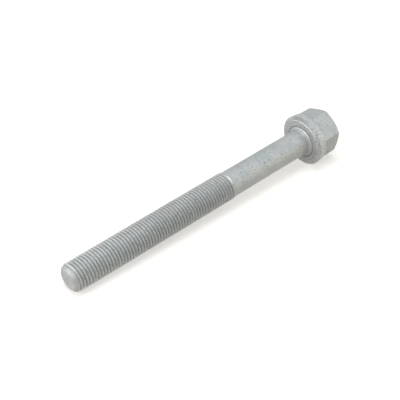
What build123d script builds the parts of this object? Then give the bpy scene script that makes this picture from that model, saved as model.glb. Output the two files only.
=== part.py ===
from build123d import *
from math import atan2, cos, degrees, radians, tan
import os

# Cylinder head bolt, one piece of steel, M18 x 2 with a 27 mm hexagon and a round collar.
# Sizes in millimetres. The bolt is drawn along X from its point, then laid on the ground.

# Threaded end. The section stands at the crest size of an M18 thread of medium fit.
thread_size = 18.0
thread_pitch = 2.0
crest_allowance = 0.2
crest_radius = (thread_size - crest_allowance) / 2
thread_length = 116.0

# Point: a flat face, a short steep bevel and a longer shallow one.
point_face_radius = 6.45
point_bevel_length = 1.3
point_bevel_rise = 1.6
point_taper_length = 1.9

# Plain shank, rolled to the pitch diameter of the thread, and the run-out step up to the crests.
shank_allowance = 0.04
shank_radius = (thread_size - 0.6495 * thread_pitch - shank_allowance) / 2
runout_length = 2.2

# Underside of the head.
grip_length = 180.5
fillet_radius = 2.0
ring_groove_width = 0.8
ring_groove_depth = 0.35

# Collar, with a bevel all round the bearing face and another towards the hexagon.
collar_radius = 16.75
bearing_radius = 14.7
front_bevel_length = 1.7
collar_height = 6.9
collar_draft = 0.2
back_bevel = 1.1

# Hexagon, forged with a slight draft, so it is a little wider at the collar than at its top.
across_flats = 27.0
hexagon_draft = 0.9
head_height = 21.2
top_face_radius = 12.35
top_bevel_angle = 27.0
hexagon_turn = 41.1
edge_round = 0.25

# Stations along the bolt that follow from the sizes above.
bevel_radius = point_face_radius + point_bevel_rise
point_end = point_bevel_length + point_taper_length
runout_end = thread_length + runout_length
fillet_top = shank_radius + fillet_radius
groove_outer = fillet_top + ring_groove_width
rim_station = grip_length + front_bevel_length
collar_back = grip_length + collar_height
back_rim_station = collar_back - back_bevel
back_rim_radius = collar_radius - collar_draft
head_top = grip_length + head_height

# Half section of the turned body: point, thread, run-out, shank, underside and collar.
with BuildSketch(Plane.XY) as section:
    with BuildLine():
        Line((0, 0), (0, point_face_radius))
        Line((0, point_face_radius), (point_bevel_length, bevel_radius))
        Line((point_bevel_length, bevel_radius), (point_end, crest_radius))
        Line((point_end, crest_radius), (thread_length, crest_radius))
        Line((thread_length, crest_radius), (runout_end, shank_radius))
        Line((runout_end, shank_radius), (grip_length - fillet_radius, shank_radius))
        RadiusArc(
            (grip_length - fillet_radius, shank_radius),
            (grip_length, fillet_top),
            -fillet_radius,
        )
        ThreePointArc(
            (grip_length, fillet_top),
            (grip_length + ring_groove_depth, (fillet_top + groove_outer) / 2),
            (grip_length, groove_outer),
        )
        Line((grip_length, groove_outer), (grip_length, bearing_radius))
        Line((grip_length, bearing_radius), (rim_station, collar_radius))
        Line((rim_station, collar_radius), (back_rim_station, back_rim_radius))
        Line((back_rim_station, back_rim_radius), (collar_back, back_rim_radius - back_bevel))
        Line((collar_back, back_rim_radius - back_bevel), (collar_back, 0))
        Line((collar_back, 0), (0, 0))
    make_face()
body = revolve(section.sketch, axis=Axis.X)

# Hexagon with rounded long edges, from inside the collar to the top, where a cone cuts its corners.
hexagon_length = head_top - rim_station
widest = across_flats + 2 * hexagon_length * tan(radians(hexagon_draft))
corner_radius = widest / 2 / cos(radians(30))
across = Plane(origin=(rim_station, 0, 0), x_dir=(0, 1, 0), z_dir=(1, 0, 0))
hexagon = extrude(across * RegularPolygon(corner_radius, 6), hexagon_length, taper=hexagon_draft)
long_edges = hexagon.edges().filter_by(lambda edge: edge.length > hexagon_length * 0.99)
hexagon = fillet(long_edges, edge_round)
cone_drop = (corner_radius - top_face_radius) * tan(radians(top_bevel_angle))
with BuildSketch(Plane.XY) as cap:
    Polygon(
        (0, 0),
        (head_top, 0),
        (head_top, top_face_radius),
        (head_top - cone_drop, corner_radius),
        (0, corner_radius),
        align=None,
    )
hexagon = hexagon & revolve(cap.sketch, axis=Axis.X)
bolt = body + Rot(hexagon_turn, 0, 0) * hexagon

# Resting place: the first crests behind the point and the front rim of the collar touch the ground.
rest_tilt = atan2(collar_radius - crest_radius, rim_station - point_end)
bolt = Rot(0, -degrees(rest_tilt), 0) * bolt
low = bolt.bounding_box()
bolt = Pos(-(low.min.X + low.max.X) / 2, -(low.min.Y + low.max.Y) / 2, -low.min.Z) * bolt

os.makedirs("parts", exist_ok=True)
export_step(bolt, "parts/cylinder_head_bolt.step")
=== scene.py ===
from math import atan, atan2, ceil, cos, pi, radians, sin, tan

import bpy
import numpy as np
from bpy.props import FloatProperty, FloatVectorProperty, PointerProperty
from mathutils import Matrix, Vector


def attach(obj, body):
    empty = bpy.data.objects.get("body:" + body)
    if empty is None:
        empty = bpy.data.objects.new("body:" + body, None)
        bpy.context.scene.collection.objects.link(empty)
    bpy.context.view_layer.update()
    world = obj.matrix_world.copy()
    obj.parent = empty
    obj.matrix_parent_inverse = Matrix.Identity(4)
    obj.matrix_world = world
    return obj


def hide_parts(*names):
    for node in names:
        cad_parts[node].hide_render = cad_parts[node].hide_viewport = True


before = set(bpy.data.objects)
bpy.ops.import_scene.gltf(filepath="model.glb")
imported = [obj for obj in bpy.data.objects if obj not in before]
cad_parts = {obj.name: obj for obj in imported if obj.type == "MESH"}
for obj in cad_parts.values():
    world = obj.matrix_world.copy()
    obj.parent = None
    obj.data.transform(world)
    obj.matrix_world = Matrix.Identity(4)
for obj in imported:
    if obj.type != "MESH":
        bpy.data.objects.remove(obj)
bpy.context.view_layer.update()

bl_info = {
    "name": "Cylinder Head Bolt",
    "version": (1, 0, 0),
    "blender": (4, 5, 0),
    "location": "3D View > Sidebar > Bolt",
    "description": "Makes a coated cylinder head bolt with a rolled thread, and a pale floor with soft light",
    "category": "Add Mesh",
}

NODE = "cylinder_head_bolt"
BODY = "root"
MM = 0.001
FULL_TURN = 2 * pi
FLATS = 6
SECTOR = FULL_TURN / FLATS
HALF_FLAT_COLUMNS = 7
SHARP_ANGLE = radians(40)

# A metric thread's pitch diameter lies this many pitches below its nominal size.
PITCH_DIAMETER_DROP = 0.6495
# Points nearer than this are one point, in metres.
SAME_POINT = 1e-8

# Three numbers that the mesh holds at its points. The wear and highlight mark and chipped go from 0 to 1.
# Height goes from -1 for the painted shade in a thread's root over 0 for plain coating to 1 for a crest
# painted pale as a highlight, and above that to a painted highlight of bare zinc.
MARKS = ("wear_and_highlight", "chipped", "height")
# How far the brightness of a rubbed edge, partly a painted highlight, reaches onto the faces beside it.
WEAR_AND_HIGHLIGHT_MARGIN = 0.18 * MM
# The bright line on the run-out's edge, on the lit side only: a painted highlight drawn as bare zinc.
# Its middle past the last crest, and its width.
RUN_OUT_HIGHLIGHT_AT, RUN_OUT_HIGHLIGHT_WIDTH = 0.75 * MM, 0.18 * MM
# The crests are painted paler towards the point, a painted highlight: how far that reaches,
# and what it does to the height.
POINT_HIGHLIGHT_REACH, POINT_HIGHLIGHT_GAIN, POINT_HIGHLIGHT_LIFT = 75 * MM, 0.7, 0.12
# Painted shade: the thread is painted darker on one side, from near the middle of the lit side round towards
# its back: from where, how fast, and by how much.
SHADE_SIDE_START, SHADE_SIDE_SPREAD, SHADE_SIDE_DROP = 0.1, radians(45), 0.5
# Caps on the height of the first turns beside the point's bevel, which keep most of the painted crest
# highlight off them, and how soon that ends.
FIRST_TURN_HEIGHT, FIRST_TURN_RISE, FIRST_TURN_LENGTH = 0.4, 2, 1.5 * MM
CHIP_SHARE, CHIP_FADE = 0.9, 0.5 * MM
# The point's face is blended a little towards the root shade grey, and its bevel is painted a little lighter,
# a painted highlight, with wear and painted highlight on its lit side.
POINT_FACE_HEIGHT, POINT_BEVEL_HIGHLIGHT, POINT_BEVEL_WEAR_AND_HIGHLIGHT = -0.42, 0.3, 0.05
# Painted highlight on the collar's band, less in the middle of the lit side, and painted shade in the ring
# groove.
BAND_HIGHLIGHT, BAND_HIGHLIGHT_DROP, RING_GROOVE_SHADE = 0.95, 0.35, -0.9
# Painted shade on the front bevel towards one edge of the lit side: how dark, from where, and how fast.
FRONT_BEVEL_SHADE, FRONT_BEVEL_SHADE_START, FRONT_BEVEL_SHADE_SPREAD = -0.75, 0.7, radians(65)

# Patterns of the coating: grain in millimetres, detail, and the noise values where each starts and is full.
# The zinc flakes are about 0.02 mm wide and the pores 0.1 to 0.3 mm, too fine for a render in which a pixel
# is 0.65 mm wide. So the grain, the pores, the chips and the gaps in a rubbed edge are drawn coarser.
COATING_PATTERNS = {
    "blots": (7.0, 3.0, 0.35, 0.65),
    "grain": (0.9, 2.0, 0.25, 0.75),
    "crowded": (12.0, 1.0, 0.4, 0.5),
    "chips": (0.6, 1.0, 0.58, 0.62),
    "rubbed": (1.3, 2.0, 0.3, 0.5),
}
RELIEF_GRAIN, RELIEF_DEPTH = 0.4 * MM, 0.02 * MM
# The pores are strewn this far apart, and each fades from its rim to its middle at these shares of that.
PORE_SPACING, PORE_RIM, PORE_MIDDLE = 2.2 * MM, 0.24, 0.1
# The heights at which crests are painted pale, then as bare zinc, both painted highlight,
# and at which roots are painted dark, painted shade.
CREST_HIGHLIGHT_RANGE, POLISH_HIGHLIGHT_RANGE, ROOT_SHADE_RANGE = (0.2, 0.9), (0.9, 1.5), (-0.3, -1.0)
POLISH_HIGHLIGHT_SHARE = 0.7

# Out to the first distance the floor shows the lamps' light, and from the second it is plain white.
LIT_REACH, WHITE_FROM = 0.3, 0.9
WHITE = (1.0, 1.0, 1.0)
LAMP_SIZE, LAMP_DISTANCE, LAMP_AIM = 0.8, 1.3, Vector((0, 0, 0.015))
CAMERA_PLACE = Vector((-0.2901297, -0.328067, 0.3700222))
CAMERA_DIRECTION = Vector((0.50717454, 0.58398972, -0.63382174))
SENSOR_WIDTH = 36.0


def from_hex(code):
    """Linear red, green and blue of an sRGB colour written as six hex digits."""
    parts = [int(code[k:k + 2], 16) / 255 for k in (0, 2, 4)]
    return tuple(c / 12.92 if c <= 0.04045 else ((c + 0.055) / 1.055) ** 2.4 for c in parts)


def length(name, millimetres, text):
    """A property that holds a length, shown in the scene's unit."""
    return FloatProperty(name=name, description=text, default=millimetres * MM, min=0, unit="LENGTH")


def angle(name, degrees_of_turn, text):
    """A property that holds an angle."""
    return FloatProperty(name=name, description=text, default=radians(degrees_of_turn), subtype="ANGLE")


def share(name, value, text):
    """A property that holds a share from nothing to all."""
    return FloatProperty(name=name, description=text, default=value, min=0, max=1, subtype="FACTOR")


def power(name, watts, text):
    """A property that holds a lamp's power."""
    return FloatProperty(name=name, description=text, default=watts, min=0, unit="POWER")


def colour(name, code, text):
    """A property that holds a colour, given as sRGB hex digits."""
    return FloatVectorProperty(
        name=name, description=text, default=from_hex(code), min=0, max=1, subtype="COLOR"
    )


class BoltSizes(bpy.types.PropertyGroup):
    """The bolt's sizes, as its drawing would give them."""

    thread_size: length("Thread size", 18.0, "Nominal diameter of the thread")
    thread_pitch: length("Pitch", 2.0, "Distance from crest to crest")
    crest_allowance: length("Crest allowance", 0.2, "What the crest diameter lacks of the nominal size")
    thread_length: length("Thread length", 116.0, "From the point to the last full crest")
    thread_phase: FloatProperty(
        name="Thread start", description="Turn of the thread about the axis, in pitches", default=0.52
    )
    thread_depth: length("Thread depth", 1.127, "From a crest down to the bottom of the groove")
    crest_width: length("Crest width", 0.14, "Flat top of a crest")
    # The side where edges are drawn bright, rubbed bare and painted highlight; painted shade and chips are
    # placed from it too.
    wear_and_highlight_side: angle("Worn side", 112, "Turn about the axis of the middle of the worn side")
    wear_and_highlight_reach: angle("Worn reach", 75, "How far the wear reaches to each side of its middle")
    point_face_radius: length("Point face radius", 6.45, "Flat face at the point")
    point_bevel_length: length("Point bevel length", 1.3, "Steep bevel round the point's face, along the axis")
    point_bevel_rise: length("Point bevel rise", 1.6, "The same bevel, across the axis")
    point_taper_length: length("Point taper", 1.9, "Shallow taper up to the first full crest")
    point_edge_round: length("Point edge round", 0.15, "Rounding of the point's first edge")
    shank_allowance: length("Shank allowance", 0.04, "What the shank lacks of the pitch diameter")
    runout_length: length("Run-out length", 2.2, "Step from the last crest down to the shank")
    grip_length: length("Grip length", 180.5, "From the point to the bearing face")
    fillet_radius: length("Fillet radius", 2.0, "Fillet between the shank and the head")
    ring_groove_width: length("Ring groove width", 0.8, "Groove round the fillet")
    ring_groove_depth: length("Ring groove depth", 0.35, "Depth of that groove into the head")
    bead_height: length("Bead height", 0.35, "Thin raised ring where the fillet ends at the groove")
    collar_radius: length("Collar radius", 16.75, "Largest radius of the collar")
    bearing_radius: length("Bearing radius", 14.7, "Outer radius of the flat ring under the collar")
    front_bevel_length: length("Front bevel length", 1.7, "Bevel from the bearing face to the rim")
    collar_height: length("Collar height", 6.9, "From the bearing face to the back of the collar")
    collar_draft: length("Collar draft", 0.2, "How much the collar narrows towards the hexagon")
    back_bevel: length("Back bevel", 1.1, "Bevel at the back of the collar")
    across_flats: length("Across flats", 27.0, "Size of the spanner or socket")
    hexagon_draft: angle("Hexagon draft", 0.9, "How much each flat leans in towards the top")
    head_height: length("Head height", 21.2, "Collar and hexagon together")
    top_face_radius: length("Top face radius", 12.35, "Flat face on top of the hexagon")
    top_bevel_angle: angle("Top bevel", 27.0, "Slope of the bevel that cuts the hexagon's corners")
    hexagon_turn: angle("Hexagon turn", 41.1, "Turn of the hexagon's first corner about the axis")
    edge_round: length("Edge round", 0.25, "Rounding of the hexagon's six long edges")


class CoatingLook(bpy.types.PropertyGroup):
    """The colours and gloss of the coating."""

    flake_grey: colour("Flake grey", "c6c7c6", "Main colour of the coating")
    cool_grey: colour("Cool grey", "b6babb", "Blots where the coating is thin")
    grain_grey: colour("Grain grey", "a0a2a1", "The darker flakes of the fine grain")
    # Painted shade: this grey darkens the thread's roots, the ring groove and the front bevel.
    root_shade_grey: colour("Root grey", "878888", "The bottom of the thread's grooves")
    # Painted highlight: this grey lightens the crests, the collar's band and the point's bevel.
    crest_highlight_grey: colour("Crest grey", "d7d9d8", "The thread's crests, which have rubbed lighter")
    grain: share("Grain", 0.8, "How much the fine grain shows")
    grain_relief: share("Grain relief", 0.25, "How far the fine grain stands out")
    pore: colour("Pore", "4c5356", "Dark specks where the coating has a pore or a chip")
    pore_depth: share("Pore depth", 0.8, "How dark the specks are")
    # Also the colour of the painted highlight lines on the lit side and of the highest crests near the point.
    bare_zinc_and_highlight: colour("Bare zinc", "e8ecec", "Edges that have rubbed bright")
    roughness: share("Roughness", 0.5, "How far the coating scatters a reflection")
    bare_roughness: share("Bare roughness", 0.3, "The same on edges that have rubbed bright")
    metallic: share("Metallic", 0.3, "How metallic the flakes look")


class StageLook(bpy.types.PropertyGroup):
    """The floor, the lamps and the camera."""

    floor: colour("Floor", "ece5dc", "Colour of the floor")
    floor_lift: share("Floor lift", 0.5, "How much whiter the floor is where it is seen")
    floor_size: FloatProperty(
        name="Floor size", description="Side of the square floor", default=3.0, min=0.1, unit="LENGTH"
    )
    fill: share("Fill", 0.02, "Strength of the white surroundings on matt surfaces")
    top_power: power("Top lamp", 9.6, "Power of the lamp above")
    left_power: power("Left lamp", 7.0, "Power of the low lamp beyond the point")
    point_power: power("Point lamp", 3.5, "Power of the high lamp beyond the point")
    right_power: power("Right lamp", 2.1, "Power of the high lamp beside the head")
    low_power: power("Low lamp", 2.6, "Power of the low lamp beside the head")
    cool: colour("Cool light", "f5fcff", "Colour of the lamp above")
    blue: colour("Blue light", "c4e0ff", "Colour of the high lamp beside the head")
    warm: colour("Warm light", "fff0c0", "Colour of the low lamp beside the head")
    lens: FloatProperty(
        name="Lens", description="Focal length in millimetres", default=85.26, min=1, unit="CAMERA"
    )


class BoltAxes:
    """Where the bolt lies: its crests and its collar touch the ground, and its box is centred."""

    def __init__(self, s):
        self.crest_radius = (s.thread_size - s.crest_allowance) / 2
        self.pitch_radius = (s.thread_size - PITCH_DIAMETER_DROP * s.thread_pitch) / 2
        self.shank_radius = self.pitch_radius - s.shank_allowance / 2
        self.point_end = s.point_bevel_length + s.point_taper_length
        self.thread_from = s.point_bevel_length * 0.75
        self.runout_end = s.thread_length + s.runout_length
        self.thread_to = self.runout_end + 0.5 * MM
        self.rim = s.grip_length + s.front_bevel_length
        self.collar_back = s.grip_length + s.collar_height
        self.head_top = s.grip_length + s.head_height
        tilt = atan2(s.collar_radius - self.crest_radius, self.rim - self.point_end)
        self.along = np.array((cos(tilt), 0.0, sin(tilt)))
        self.level = np.array((0.0, 1.0, 0.0))
        self.upright = np.array((-sin(tilt), 0.0, cos(tilt)))
        back = -s.point_face_radius * sin(tilt)
        front = self.head_top * cos(tilt) + s.top_face_radius * sin(tilt)
        height = self.crest_radius * cos(tilt) - self.point_end * sin(tilt)
        self.point = np.array((-(back + front) / 2, 0.0, height))

    def place(self, station, radius, turn):
        """Points in the frame, from stations along the axis, radii and turns about it."""
        station, radius, turn = (np.asarray(x)[..., None] for x in (station, radius, turn))
        return (
            self.point
            + station * self.along
            + radius * (np.cos(turn) * self.level + np.sin(turn) * self.upright)
        )


class Stop:
    """
    A corner of a half section: its station and radius, its rounding, how many steps divide the rounding and
    the run up to it, how worn its edge is, and how chipped the run up to it is.
    """

    def __init__(self, station, radius, rounding=0.0, arc_steps=0, run_steps=1, wear=0.0, chipped=0.0):
        self.station = station
        self.radius = radius
        self.rounding = rounding
        self.arc_steps = arc_steps
        self.run_steps = run_steps
        self.wear = wear
        self.chipped = chipped


def smooth_step(x):
    """From 0 to 1 while x goes from 0 to 1, with a soft start and end."""
    x = np.clip(x, 0, 1)
    return x * x * (3 - 2 * x)


def round_corner(before, corner, after, cut, turn, steps):
    """Points down each column along the rounding of one corner, between the two ends of its cut."""
    enter, leave = corner - before * cut, corner + after * cut
    weight = np.cos(turn / 2)[:, None]
    arc = []
    for q in np.linspace(0, 1, steps + 1):
        one, two, three = (1 - q) ** 2, 2 * q * (1 - q) * weight, q ** 2
        arc.append((one * enter + two * corner + three * leave) / (one + two + three))
    return arc


def trace(stops, columns):
    """
    Stations and radii down each column, with every corner rounded, as columns x rows.
    Then how worn and how chipped each row is.
    """
    corners = np.array([
        np.stack(np.broadcast_arrays(
            np.zeros(columns) + stop.station, np.zeros(columns) + stop.radius
        ), axis=-1)
        for stop in stops
    ])
    steps = np.diff(corners, axis=0)
    lengths = np.maximum(np.linalg.norm(steps, axis=-1), 1e-9)
    directions = steps / lengths[..., None]
    arcs = []
    for k in range(1, len(stops) - 1):
        before, after = directions[k - 1], directions[k]
        turn = np.arccos(np.clip((before * after).sum(-1), -1, 1))
        room = 0.49 * np.minimum(lengths[k - 1], lengths[k])
        cut = np.minimum(stops[k].rounding * np.tan(turn / 2), room)[:, None]
        if stops[k].arc_steps:
            arcs.append(round_corner(before, corners[k], after, cut, turn, stops[k].arc_steps))
        else:
            arcs.append([corners[k]])
    arcs.append([corners[-1]])
    rows, marks = [corners[0]], [(0.0, 0.0)]
    for k, arc in enumerate(arcs, start=1):
        stop, first = stops[k], rows[-1]
        run_mark = (0.0, stop.chipped)
        rows += [first + (arc[0] - first) * (j / stop.run_steps) for j in range(1, stop.run_steps)]
        marks += [run_mark] * (stop.run_steps - 1)
        if stop.wear:
            rows.append(arc[0] - directions[k - 1] * WEAR_AND_HIGHLIGHT_MARGIN)
            marks.append(run_mark)
        rows += arc
        marks += [(stop.wear, stop.chipped)] * len(arc)
        if stop.wear:
            rows.append(arc[-1] + directions[k] * WEAR_AND_HIGHLIGHT_MARGIN)
            marks.append((0.0, stops[k + 1].chipped))
    rows = np.array(rows)
    return rows[..., 0].T, rows[..., 1].T, np.array(marks)


def corner_half_turn(s):
    """Half of the turn that the rounding of one of the hexagon's long edges takes."""
    apothem = s.across_flats / 2
    return SECTOR / 2 - atan((apothem - s.edge_round) * tan(SECTOR / 2) / apothem)


def column_turns(s):
    """Turns of the columns: close together at each corner of the hexagon, evenly spaced between."""
    near = corner_half_turn(s)
    wide = np.linspace(0, SECTOR / 2, HALF_FLAT_COLUMNS + 1)[1:]
    half = np.concatenate(([near * 0.5, near], wide[:-1]))
    one = np.concatenate(([0.0], half, [SECTOR / 2], SECTOR - half[::-1]))
    return np.concatenate([s.hexagon_turn + k * SECTOR + one for k in range(FLATS)])


def hexagon_radius(s, turns, below_top):
    """Radius at each turn of the hexagon with rounded corners, so far below its top."""
    apothem = s.across_flats / 2 + below_top * tan(s.hexagon_draft)
    from_corner = (turns - s.hexagon_turn + SECTOR / 2) % SECTOR - SECTOR / 2
    from_flat = SECTOR / 2 - np.abs(from_corner)
    flat = apothem / np.cos(from_flat)
    centre = (apothem - s.edge_round) / cos(SECTOR / 2)
    beside = centre * np.sin(from_corner)
    arc = centre * np.cos(from_corner) + np.sqrt(np.maximum(s.edge_round ** 2 - beside ** 2, 0))
    return np.where(np.abs(from_corner) < corner_half_turn(s), arc, flat)


class Thread:
    """A rolled right-hand thread with rounded roots, cut off by the point and ending at the run-out."""

    flank_tilt = radians(30)

    def __init__(self, s, axes):
        self.pitch = s.thread_pitch
        self.phase = s.thread_phase
        self.crest = axes.crest_radius
        self.deepest = s.thread_depth
        self.half_width = (self.pitch - s.crest_width) / 2
        self.sharp = self.half_width / tan(self.flank_tilt)
        self.root_round = (self.sharp - self.deepest) / (1 / sin(self.flank_tilt) - 1)
        self.flank_foot = self.root_round * cos(self.flank_tilt)
        self.crest_round = s.crest_width / 3
        # The groove starts and is full at these stations, and fades and ends at these.
        self.start, self.full = 0.4 * self.pitch, 1.2 * self.pitch
        self.fade, self.end = s.thread_length + 0.2 * self.pitch, s.thread_length + 0.9 * self.pitch

    def rows(self):
        """
        Places of the mesh rows across one pitch, from the middle of a crest, in pitches: four round the
        crest's edge, two round the root and one at its bottom, and the same again up the other flank.
        """
        edge, c = self.pitch / 2 - self.half_width, self.crest_round
        places = [edge - c, edge - c * 0.25, edge + c * 0.6, edge + c * 1.4]
        places += [self.pitch / 2 - self.flank_foot, self.pitch / 2 - self.flank_foot * 0.5]
        other_flank = [self.pitch - x for x in reversed(places)]
        return np.array(places + [self.pitch / 2] + other_flank) / self.pitch

    def depth(self, station, turn):
        """How far the thread's surface lies below the crest."""
        along = station / self.pitch - turn / FULL_TURN - self.phase
        from_crest = along - np.round(along)
        from_root = self.pitch / 2 - np.abs(from_crest) * self.pitch
        flank = self.sharp - from_root / tan(self.flank_tilt)
        inside = np.maximum(self.root_round ** 2 - from_root ** 2, 0)
        root = self.deepest - self.root_round + np.sqrt(inside)
        deep = np.where(from_root < self.flank_foot, root, flank)
        soft = self.crest_round
        deep = np.where(deep > soft, deep, (np.maximum(deep + soft, 0)) ** 2 / (4 * soft))
        centre = station + (from_root * np.sign(from_crest))
        fade_in = smooth_step((centre - self.start) / (self.full - self.start))
        fade_out = smooth_step((self.end - centre) / (self.end - self.fade))
        return deep * fade_in * fade_out


def past_wear_and_highlight_side(s, turns):
    """Turn from the middle of the side with the wear and the painted highlights, from minus to plus half a
    turn.
    """
    return (turns - s.wear_and_highlight_side + pi) % FULL_TURN - pi


def wear_and_highlight_share(s, turns, reach):
    """How much of the wear and painted highlight each column has: both lie on one side only, the lit side."""
    return smooth_step((reach - np.abs(past_wear_and_highlight_side(s, turns))) / (reach * 0.55))


def stem_outline(s, axes):
    """Stations and radii from the point to the shank, as if there were no thread."""
    edge = s.point_edge_round
    bevel_radius = s.point_face_radius + s.point_bevel_rise
    station, radius, _ = trace([
        Stop(0, 0),
        Stop(0, s.point_face_radius, edge, 4, 6),
        Stop(s.point_bevel_length, bevel_radius, 2 * edge, 6, 4),
        Stop(axes.point_end, axes.crest_radius, 6 * edge, 8, 4),
        Stop(s.thread_length, axes.crest_radius, 2 * edge, 8, 60),
        Stop(axes.runout_end, axes.shank_radius, 2 * edge, 8, 6),
        Stop(axes.thread_to + s.thread_pitch, axes.shank_radius, 0, 0, 2),
    ], 1)
    return station[0], radius[0]


def tip_rows(s, axes, turns, stem):
    """Stations, radii and marks of the point's face and most of its bevel, as columns x rows."""
    before = stem[0] < axes.thread_from - 0.02 * MM
    station = np.append(stem[0][before], axes.thread_from)
    radius = np.append(stem[1][before], np.interp(axes.thread_from, *stem))
    marks = np.zeros((len(turns), len(station), len(MARKS)))
    on_bevel = (station > 0.1 * MM) & (station < s.point_bevel_length - 0.1 * MM)
    # Wear and painted highlight on the lit side of the bevel, chips on the rest; the bevel painted a little
    # lighter, the face a little darker.
    marks[..., 0] = POINT_BEVEL_WEAR_AND_HIGHLIGHT * on_bevel * wear_and_highlight_share(s, turns, s.wear_and_highlight_reach)
    marks[..., 1] = CHIP_SHARE * on_bevel * (1 - wear_and_highlight_share(s, turns, s.wear_and_highlight_reach / 2))
    marks[..., 2] = np.where(station > 0.1 * MM, POINT_BEVEL_HIGHLIGHT, POINT_FACE_HEIGHT)
    return np.tile(station, (len(turns), 1)), np.tile(radius, (len(turns), 1)), marks


def thread_marks(s, axes, turns, station, height):
    """Marks of the thread and the run-out, from how high each point stands between root and crest."""
    middle = wear_and_highlight_share(s, turns, s.wear_and_highlight_reach / 2)
    past_end = station - s.thread_length
    # Painted highlight where the run-out's edge catches the light, drawn as bare zinc.
    line = np.exp(-((past_end - RUN_OUT_HIGHLIGHT_AT) / RUN_OUT_HIGHLIGHT_WIDTH) ** 2) * middle
    # Painted shade on one side of the thread.
    back = smooth_step(-past_wear_and_highlight_side(s, turns) / SHADE_SIDE_SPREAD - SHADE_SIDE_START)
    # Painted highlight: the crests are painted paler, up to bare zinc, towards the point.
    pale = 1 - smooth_step(station / POINT_HIGHLIGHT_REACH)
    height = (np.clip(height, -1, 1) + 1) * (1 + POINT_HIGHLIGHT_GAIN * pale) - 1 + POINT_HIGHLIGHT_LIFT * pale - SHADE_SIDE_DROP * back
    height = height * smooth_step(1 - past_end / s.runout_length)
    # The first turns beside the bevel keep less of the painted highlight.
    rise = smooth_step((station - s.point_bevel_length) / FIRST_TURN_LENGTH)
    height = np.minimum(height, FIRST_TURN_HEIGHT + FIRST_TURN_RISE * rise)
    chips = CHIP_SHARE * smooth_step((axes.point_end - station) / CHIP_FADE) * (1 - middle)
    return np.stack((line, chips, height), axis=-1)


def thread_rows(s, axes, turns, stem):
    """Stations, radii and marks of the thread and the run-out, and how many rows lie in a pitch."""
    thread = Thread(s, axes)
    places = thread.rows()
    pitch = s.thread_pitch
    first = axes.thread_from - 1.02 * pitch
    first += ((thread.phase + turns[0, 0] / FULL_TURN) * pitch - first) % pitch - pitch
    pitches = ceil((axes.thread_to - first) / pitch) + 1
    rows = (np.arange(pitches)[:, None] + places[None, :]).ravel() * pitch
    station = first + rows[None, :] + (turns - turns[0]) / FULL_TURN * pitch
    snap = 0.04 * MM
    station = np.where(station < axes.thread_from + snap, axes.thread_from, station)
    station = np.where(station > axes.thread_to - snap, axes.thread_to, station)
    envelope = np.interp(station, *stem)
    radius = np.minimum(envelope, thread.crest - thread.depth(station, turns))
    height = 1 - 2 * (envelope - radius) / s.thread_depth
    return station, radius, thread_marks(s, axes, turns, station, height), len(places)


def head_rows(s, axes, turns):
    """Stations, radii and marks of the shank, the fillet, the collar and the hexagon, as columns x rows."""
    grip, back = s.grip_length, axes.collar_back
    fillet_top = axes.shank_radius + s.fillet_radius
    groove_middle = fillet_top + s.ring_groove_width * 0.05
    groove_outer = fillet_top + s.ring_groove_width * 0.65
    back_radius = s.collar_radius - s.collar_draft
    flat_foot = hexagon_radius(s, turns[:, 0], axes.head_top - back)
    bevel_foot = np.maximum(back_radius - s.back_bevel, flat_foot)
    flat_top = hexagon_radius(s, turns[:, 0], 0)
    steepness = 1 / tan(s.top_bevel_angle) - tan(s.hexagon_draft) * flat_top / (s.across_flats / 2)
    cut = (flat_top - s.top_face_radius) / steepness
    stops = [
        Stop(axes.thread_to, axes.shank_radius),
        Stop(grip - s.fillet_radius, axes.shank_radius, 0, 0, 20),
    ]
    stops += [
        Stop(grip - s.fillet_radius + s.fillet_radius * sin(q), fillet_top - s.fillet_radius * cos(q))
        for q in np.linspace(0, pi * 0.3, 8)[1:]
    ]
    stops += [
        # The bead and the bearing edge are drawn bright on the lit side only: rubbed bare zinc and painted
        # highlight.
        Stop(grip - s.bead_height, fillet_top - 0.6 * MM, 0.2 * MM, 5, wear=1.0),
        Stop(grip + s.ring_groove_depth, groove_middle, 0.2 * MM, 4),
        Stop(grip, groove_outer, 0.15 * MM, 2),
        Stop(grip, s.bearing_radius, 0.2 * MM, 4, 4, wear=0.85),
        Stop(axes.rim, s.collar_radius, 0.3 * MM, 4, 3, chipped=1.0),
        Stop(back - s.back_bevel, back_radius, 0.5 * MM, 4, 3),
        Stop(back - s.back_bevel + back_radius - bevel_foot, bevel_foot, 0.35 * MM, 3, 2),
        Stop(back, flat_foot, 0.6 * MM, 3, 2),
        Stop(axes.head_top - cut, s.top_face_radius + cut / tan(s.top_bevel_angle), 0.3 * MM, 3, 6),
        Stop(axes.head_top, s.top_face_radius, 0.3 * MM, 3, 3),
        Stop(axes.head_top, 0, 0, 0, 6),
    ]
    station, radius, marks = trace(stops, len(turns))
    in_groove = (station > grip) & (radius < groove_outer) & (radius > fillet_top - 0.4 * MM)
    on_band = (station > axes.rim) & (radius > back_radius - 0.1 * MM)
    on_front_bevel = (station < axes.rim) & (radius > s.bearing_radius + 0.15 * MM)
    wear_and_highlight = wear_and_highlight_share(s, turns, s.wear_and_highlight_reach)
    middle = wear_and_highlight_share(s, turns, s.wear_and_highlight_reach / 2)
    # Painted highlight on the collar's band, less in the middle of the lit side; painted shade in the ring
    # groove and on the front bevel towards one edge of the lit side.
    bevel_shade_side = wear_and_highlight * smooth_step(FRONT_BEVEL_SHADE_START - past_wear_and_highlight_side(s, turns) / FRONT_BEVEL_SHADE_SPREAD)
    height = (BAND_HIGHLIGHT - BAND_HIGHLIGHT_DROP * middle) * on_band
    height = height + RING_GROOVE_SHADE * in_groove + FRONT_BEVEL_SHADE * bevel_shade_side * on_front_bevel
    return station, radius, np.dstack((marks[None] * wear_and_highlight[..., None], height))


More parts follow.
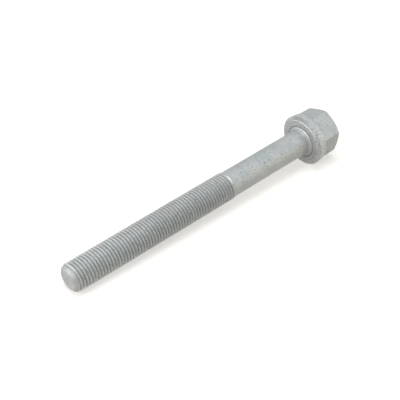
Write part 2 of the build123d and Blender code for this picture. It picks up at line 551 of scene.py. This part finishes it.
def join_points(points, marks, polygons):
    """Merges points that coincide and drops what is left of the faces between them."""
    keys = np.round(points / SAME_POINT).astype(np.int64)
    _, first, index = np.unique(keys, axis=0, return_index=True, return_inverse=True)
    index = index.ravel()
    faces = []
    for polygon in polygons:
        face = []
        for corner in index[polygon]:
            if corner not in face:
                face.append(int(corner))
        if len(face) > 2:
            faces.append(face)
    return points[first], marks[first], faces


def grid_faces(start, columns, rows, climb):
    """
    Faces between neighbouring columns of a grid that closes on itself.
    Where the last column meets the first, the rows of a thread climb by those of one pitch.
    """
    faces = []
    for i in range(columns):
        up = climb if i == columns - 1 else 0
        for j in range(rows - 1 - up):
            a, b = start + i * rows + j, start + (i + 1) % columns * rows + j + up
            faces.append((a, b, b + 1, a + 1))
    return faces


def make_bolt_mesh(s):
    """The whole bolt as one closed mesh."""
    axes = BoltAxes(s)
    turns = column_turns(s)[:, None]
    stem = stem_outline(s, axes)
    *thread, pitch_rows = thread_rows(s, axes, turns, stem)
    parts = ((tip_rows(s, axes, turns, stem), 0), (thread, pitch_rows), (head_rows(s, axes, turns), 0))
    points, marks, faces, start = [], [], [], 0
    for (station, radius, part_marks), climb in parts:
        columns, rows = station.shape
        points.append(axes.place(station, radius, turns).reshape(-1, 3))
        marks.append(part_marks.reshape(-1, len(MARKS)))
        faces += grid_faces(start, columns, rows, climb)
        start += columns * rows
    points, marks, faces = join_points(np.concatenate(points), np.concatenate(marks), np.array(faces))
    mesh = bpy.data.meshes.new("bolt")
    mesh.from_pydata(points.tolist(), [], faces)
    for k, name in enumerate(MARKS):
        mark = mesh.attributes.new(name, "FLOAT", "POINT")
        mark.data.foreach_set("value", marks[:, k].astype(np.float32))
    mesh.update()
    return mesh


def add_node(tree, kind, settings=None, links=None):
    """A node with its settings and links. Settings name a property, or an input by its index or name."""
    node = tree.nodes.new(kind)
    for key, value in (settings or {}).items():
        if isinstance(key, str) and hasattr(node, key):
            setattr(node, key, value)
        else:
            node.inputs[key].default_value = value
    for key, source in (links or {}).items():
        tree.links.new(source, node.inputs[key])
    return node


def new_material(name):
    """An empty node material and its tree."""
    material = bpy.data.materials.new(name)
    material.use_nodes = True
    material.node_tree.nodes.clear()
    return material, material.node_tree


def zinc_flake_coating(look):
    """
    Zinc flake coating, dipped, spun and baked: a matt light grey with blots and dark pores.
    Where an edge has rubbed bare or catches the light on the lit side, it is a thin bright line, wear and
    painted highlight, and the bevel beside it is chipped. Crests are painted paler and roots darker, as
    painted highlight and painted shade.
    """
    material, tree = new_material("zinc_flake_coating_dip_spun")
    place = add_node(tree, "ShaderNodeTexCoord").outputs["Object"]
    wear_and_highlight, chipped, height = (
        add_node(tree, "ShaderNodeAttribute", {"attribute_name": name}).outputs["Fac"] for name in MARKS
    )
    # The baked film varies in thickness, so it is blotted, and its flakes give it a fine grain.
    pattern = {}
    for name, (grain, detail, low, high) in COATING_PATTERNS.items():
        noise = add_node(
            tree, "ShaderNodeTexNoise", {"Scale": 1 / (grain * MM), "Detail": detail}, {"Vector": place}
        )
        pattern[name] = add_node(
            tree, "ShaderNodeMapRange", {"interpolation_type": "SMOOTHSTEP", 1: low, 2: high},
            {0: noise.outputs["Fac"]},
        ).outputs[0]
    # Painted highlight and shade from the height: crests and the collar's band are painted paler, the highest
    # crests near the point are painted as bare zinc, and roots, the ring groove and the front bevel are
    # painted darker.
    crest, polish_highlight, root = (
        add_node(
            tree, "ShaderNodeMapRange", {"interpolation_type": "SMOOTHSTEP", 1: low, 2: high}, {0: height}
        ).outputs[0]
        for low, high in (CREST_HIGHLIGHT_RANGE, POLISH_HIGHLIGHT_RANGE, ROOT_SHADE_RANGE)
    )
    # Pores in the film are dark specks, which gather in some places. Chips lie where an edge was knocked.
    cells = add_node(tree, "ShaderNodeTexVoronoi", {"Scale": 1 / PORE_SPACING}, {"Vector": place})
    pore = add_node(
        tree, "ShaderNodeMapRange", {"interpolation_type": "SMOOTHSTEP", 1: PORE_RIM, 2: PORE_MIDDLE},
        {0: cells.outputs["Distance"]},
    ).outputs[0]
    # The bright edge lines are rubbed bare zinc and painted highlight, broken up by the rubbed pattern.
    speck, chip, bare = (
        add_node(tree, "ShaderNodeMath", {"operation": "MULTIPLY"}, {0: first, 1: second}).outputs[0]
        for first, second in (
            (pore, pattern["crowded"]), (pattern["chips"], chipped), (pattern["rubbed"], wear_and_highlight)
        )
    )
    dark = add_node(tree, "ShaderNodeMath", {"operation": "MAXIMUM"}, {0: speck, 1: chip}).outputs[0]
    colour = add_node(
        tree, "ShaderNodeMix", {"data_type": "RGBA", 6: (*look.flake_grey, 1), 7: (*look.cool_grey, 1)},
        {0: pattern["blots"]},
    ).outputs[2]
    for amount, strength, tint in (
        (crest, 1.0, look.crest_highlight_grey),
        (polish_highlight, POLISH_HIGHLIGHT_SHARE, look.bare_zinc_and_highlight),
        (pattern["grain"], look.grain, look.grain_grey),
        (dark, look.pore_depth, look.pore),
        (root, 1.0, look.root_shade_grey),
        (bare, 1.0, look.bare_zinc_and_highlight),
    ):
        part = add_node(tree, "ShaderNodeMath", {"operation": "MULTIPLY", 1: strength}, {0: amount})
        colour = add_node(
            tree, "ShaderNodeMix", {"data_type": "RGBA", 7: (*tint, 1)}, {0: part.outputs[0], 6: colour}
        ).outputs[2]
    # The coating scatters what it reflects, and bare metal is smoother and fully metallic.
    rough = add_node(
        tree, "ShaderNodeMapRange", {3: look.roughness, 4: look.bare_roughness}, {0: bare}
    ).outputs[0]
    metallic = add_node(tree, "ShaderNodeMapRange", {3: look.metallic, 4: 1.0}, {0: bare}).outputs[0]
    flakes = add_node(
        tree, "ShaderNodeTexNoise", {"Scale": 1 / RELIEF_GRAIN, "Detail": 2.0}, {"Vector": place}
    )
    relief = add_node(
        tree, "ShaderNodeBump", {"Strength": look.grain_relief, "Distance": RELIEF_DEPTH},
        {"Height": flakes.outputs["Fac"]},
    ).outputs[0]
    shader = add_node(
        tree, "ShaderNodeBsdfPrincipled", None,
        {"Base Color": colour, "Metallic": metallic, "Roughness": rough, "Normal": relief},
    )
    add_node(tree, "ShaderNodeOutputMaterial", links={"Surface": shader.outputs[0]})
    return material


def seen_directly(tree):
    """One for the camera's rays and for reflected and transmitted ones, and nothing for matt light."""
    ray = add_node(tree, "ShaderNodeLightPath")
    seen = ray.outputs["Is Camera Ray"]
    for name in ("Is Glossy Ray", "Is Transmission Ray"):
        seen = add_node(
            tree, "ShaderNodeMath", {"operation": "MAXIMUM"}, {0: seen, 1: ray.outputs[name]}
        ).outputs[0]
    return seen


def painted_floor(look):
    """
    Matt white painted board: white where it is seen, apart from the bolt's soft shadow.
    Far from the bolt, where the lamps no longer reach, it runs into the white behind it.
    """
    material, tree = new_material("white_painted_board_sprayed")
    paint = add_node(tree, "ShaderNodeBsdfDiffuse", {"Color": (*look.floor, 1)})
    place = add_node(tree, "ShaderNodeTexCoord").outputs["Object"]
    away = add_node(tree, "ShaderNodeVectorMath", {"operation": "LENGTH"}, {0: place}).outputs["Value"]
    far = add_node(
        tree, "ShaderNodeMapRange",
        {"interpolation_type": "SMOOTHSTEP", 1: LIT_REACH, 2: WHITE_FROM, 3: look.floor_lift, 4: 1.0},
        {0: away},
    )
    lift = add_node(
        tree, "ShaderNodeMath", {"operation": "MULTIPLY"}, {0: seen_directly(tree), 1: far.outputs[0]}
    )
    glow = add_node(
        tree, "ShaderNodeEmission", {"Color": (*WHITE, 1)}, {"Strength": lift.outputs[0]}
    )
    both = add_node(tree, "ShaderNodeAddShader", links={0: paint.outputs[0], 1: glow.outputs[0]})
    add_node(tree, "ShaderNodeOutputMaterial", links={"Surface": both.outputs[0]})
    return material


def white_surroundings(look):
    """White to the camera and in reflections, and a plain fill on matt surfaces."""
    world = bpy.data.worlds.new("white_surroundings")
    world.use_nodes = True
    tree = world.node_tree
    tree.nodes.clear()
    fill = add_node(tree, "ShaderNodeBackground", {"Color": (*WHITE, 1), "Strength": look.fill})
    white = add_node(tree, "ShaderNodeBackground", {"Color": (*WHITE, 1), "Strength": 1.0})
    both = add_node(
        tree, "ShaderNodeMixShader", links={0: seen_directly(tree), 1: fill.outputs[0], 2: white.outputs[0]}
    )
    add_node(tree, "ShaderNodeOutputWorld", links={"Surface": both.outputs[0]})
    return world


def soft_lamp(name, bearing, height, watts, tint):
    """A soft square lamp that faces the bolt, from a bearing and a height in degrees."""
    light = bpy.data.lights.new(name, "AREA")
    light.size, light.energy, light.color = LAMP_SIZE, watts, tint
    level = cos(radians(height))
    away = Vector((level * cos(radians(bearing)), level * sin(radians(bearing)), sin(radians(height))))
    lamp = bpy.data.objects.new(name, light)
    lamp.location = LAMP_AIM + away * LAMP_DISTANCE
    lamp.rotation_mode = "QUATERNION"
    lamp.rotation_quaternion = away.to_track_quat("Z", "Y")
    bpy.context.scene.collection.objects.link(lamp)


class BOLT_OT_make_bolt(bpy.types.Operator):
    """Make the bolt: point, thread, shank, collar and hexagon in one closed mesh"""

    bl_idname = "head_bolt.make_bolt"
    bl_label = "Make bolt"

    def execute(self, context):
        scene = context.scene
        bolt = bpy.data.objects.new("bolt", make_bolt_mesh(scene.bolt_sizes))
        scene.collection.objects.link(bolt)
        bolt.data.materials.append(zinc_flake_coating(scene.coating_look))
        bolt.data.shade_smooth()
        bolt.data.set_sharp_from_angle(angle=SHARP_ANGLE)
        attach(bolt, BODY)
        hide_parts(NODE)
        return {"FINISHED"}


class BOLT_OT_make_stage(bpy.types.Operator):
    """Make the floor, the white surroundings, the soft lamps and the camera"""

    bl_idname = "head_bolt.make_stage"
    bl_label = "Make stage"

    def execute(self, context):
        scene = context.scene
        look = scene.stage_look
        bpy.ops.mesh.primitive_plane_add(size=look.floor_size)
        floor = context.active_object
        floor.name = "floor"
        floor.data.materials.append(painted_floor(look))
        scene.world = white_surroundings(look)
        for name, bearing, height, watts, tint in (
            ("lamp_above", 0, 90, look.top_power, look.cool),
            ("lamp_left", 155, 18, look.left_power, WHITE),
            ("lamp_point", 200, 40, look.point_power, WHITE),
            ("lamp_right", 320, 40, look.right_power, look.blue),
            ("lamp_low", 315, 18, look.low_power, look.warm),
        ):
            soft_lamp(name, bearing, height, watts, tint)
        camera = bpy.data.objects.new("camera", bpy.data.cameras.new("camera"))
        camera.data.lens = look.lens
        camera.data.sensor_width = SENSOR_WIDTH
        camera.location = CAMERA_PLACE
        camera.rotation_mode = "QUATERNION"
        camera.rotation_quaternion = CAMERA_DIRECTION.to_track_quat("-Z", "Y")
        scene.collection.objects.link(camera)
        scene.camera = camera
        scene.view_settings.view_transform = "Standard"
        return {"FINISHED"}


class BOLT_PT_panel(bpy.types.Panel):
    """Sizes, colours and buttons for the bolt"""

    bl_idname = "BOLT_PT_panel"
    bl_label = "Cylinder Head Bolt"
    bl_space_type = "VIEW_3D"
    bl_region_type = "UI"
    bl_category = "Bolt"

    def draw(self, context):
        layout = self.layout
        for group in (context.scene.bolt_sizes, context.scene.coating_look, context.scene.stage_look):
            box = layout.box()
            for name in group.__annotations__:
                box.prop(group, name)
        layout.operator(BOLT_OT_make_bolt.bl_idname)
        layout.operator(BOLT_OT_make_stage.bl_idname)


CLASSES = (BoltSizes, CoatingLook, StageLook, BOLT_OT_make_bolt, BOLT_OT_make_stage, BOLT_PT_panel)


def register():
    for each in CLASSES:
        bpy.utils.register_class(each)
    bpy.types.Scene.bolt_sizes = PointerProperty(type=BoltSizes)
    bpy.types.Scene.coating_look = PointerProperty(type=CoatingLook)
    bpy.types.Scene.stage_look = PointerProperty(type=StageLook)


def unregister():
    del bpy.types.Scene.stage_look
    del bpy.types.Scene.coating_look
    del bpy.types.Scene.bolt_sizes
    for each in reversed(CLASSES):
        bpy.utils.unregister_class(each)


def main():
    register()
    bpy.ops.head_bolt.make_bolt()
    bpy.ops.head_bolt.make_stage()


if __name__ == "__main__":
    main()
